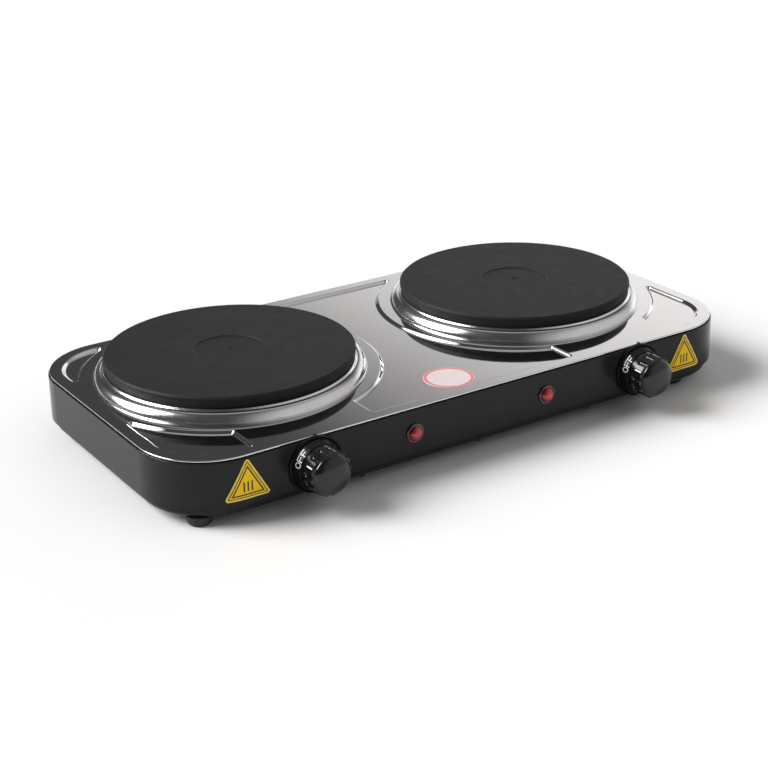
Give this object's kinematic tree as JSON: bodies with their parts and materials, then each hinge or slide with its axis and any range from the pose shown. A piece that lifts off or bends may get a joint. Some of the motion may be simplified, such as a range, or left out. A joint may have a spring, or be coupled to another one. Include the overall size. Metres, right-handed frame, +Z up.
{
  "type": "hot plate burner",
  "caption": "Low, wide worktop cooker with side-by-side round cast-iron hot plates, trim rings, a polished pressed deck, front dials, indicator lamps and rubber feet.",
  "frame": {"origin": "bottom centre of the bounding box, knobs and cord gland included, on the plane the feet stand on", "axes": "+X along the length to the right seen from the front, the knobs face -Y, +Z up"},
  "size_m": [0.493, 0.276, 0.066],
  "materials": {
    "body_paint": "satin black paint",
    "deck_steel": "mirror-polished stainless steel",
    "ring_steel": "polished stainless steel",
    "cast_iron": "matte heat-resistant black coating",
    "coil_sheath": "heat-tinted steel sheath",
    "ceramic": "unglazed, off-white",
    "bright_steel": "bright zinc-plated",
    "knob_plastic": "glossy black phenolic",
    "blade_brass": "plain",
    "lens_red": "translucent red",
    "holder_plastic": "black",
    "foot_rubber": "black",
    "label_yellow": "yellow vinyl with dark print",
    "label_white": "white vinyl with a red rim",
    "wire_brown": "silicone insulation",
    "wire_red": "silicone insulation",
    "wire_blue": "silicone insulation",
    "wire_white": "silicone insulation",
    "wire_green": "green and yellow insulation",
    "block_plastic": "cream polyamide"
  },
  "bodies": {
    "chassis": {"base_pan": "body_paint", "base_screws": "bright_steel", "body_shell": "body_paint", "centre_nuts": "bright_steel", "centre_studs": "bright_steel", "centre_washers": "bright_steel", "ceramic_fill_left": "ceramic", "ceramic_fill_right": "ceramic", "clamp_strap_left": "bright_steel", "clamp_strap_right": "bright_steel", "cord_gland": "foot_rubber", "deck_label": "label_white", "dial_collar_left": "knob_plastic", "dial_collar_right": "knob_plastic", "earth_screw": "bright_steel", "earth_wire": "wire_green", "foot_back_left": "foot_rubber", "foot_back_right": "foot_rubber", "foot_front_left": "foot_rubber", "foot_front_right": "foot_rubber", "foot_screws": "bright_steel", "heater_wire_left": "wire_red", "heater_wire_right": "wire_red", "heating_coil_left": "coil_sheath", "heating_coil_right": "coil_sheath", "hotplate_left": "cast_iron", "hotplate_right": "cast_iron", "lamp_holder_left": "holder_plastic", "lamp_holder_right": "holder_plastic", "lamp_leads_left": "wire_white", "lamp_leads_right": "wire_white", "lamp_lens_left": "lens_red", "lamp_lens_right": "lens_red", "live_wire_left": "wire_brown", "live_wire_right": "wire_brown", "neutral_wire_left": "wire_blue", "neutral_wire_right": "wire_blue", "plate_cover_left": "bright_steel", "plate_cover_right": "bright_steel", "reflector_pan_left": "bright_steel", "reflector_pan_right": "bright_steel", "terminal_block": "block_plastic", "thermostat_blades_left": "blade_brass", "thermostat_blades_right": "blade_brass", "thermostat_body_left": "bright_steel", "thermostat_body_right": "bright_steel", "thermostat_nuts": "bright_steel", "thermostat_stack_left": "ceramic", "thermostat_stack_right": "ceramic", "top_deck": "deck_steel", "triangle_label_left": "label_yellow", "triangle_label_right": "label_yellow", "trim_ring_left": "ring_steel", "trim_ring_right": "ring_steel"},
    "knob_body_left": {"knob_left": "knob_plastic", "spindle_left": "bright_steel"},
    "pin_body_left": {"adjusting_pin_left": "bright_steel"},
    "knob_body_right": {"knob_right": "knob_plastic", "spindle_right": "bright_steel"},
    "pin_body_right": {"adjusting_pin_right": "bright_steel"}
  },
  "joints": [
    {"name": "knob_turn_left", "type": "hinge", "parent": "chassis", "child": "knob_body_left", "pos_m": [-0.142, -0.11, 0.0295], "axis": [0, 1, 0], "range_deg": [0, 270]},
    {"name": "pin_slide_left", "type": "slide", "parent": "chassis", "child": "pin_body_left", "axis": [0, -1, 0], "range_m": [0, 0.0008]},
    {"name": "knob_turn_right", "type": "hinge", "parent": "chassis", "child": "knob_body_right", "pos_m": [0.142, -0.11, 0.0295], "axis": [0, 1, 0], "range_deg": [0, 270]},
    {"name": "pin_slide_right", "type": "slide", "parent": "chassis", "child": "pin_body_right", "axis": [0, -1, 0], "range_m": [0, 0.0008]}
  ],
  "couplings": [
    {"joint": "pin_slide_left", "follows": "knob_turn_left", "m_per_rad": 0.000165},
    {"joint": "pin_slide_right", "follows": "knob_turn_right", "m_per_rad": 0.000165}
  ]
}
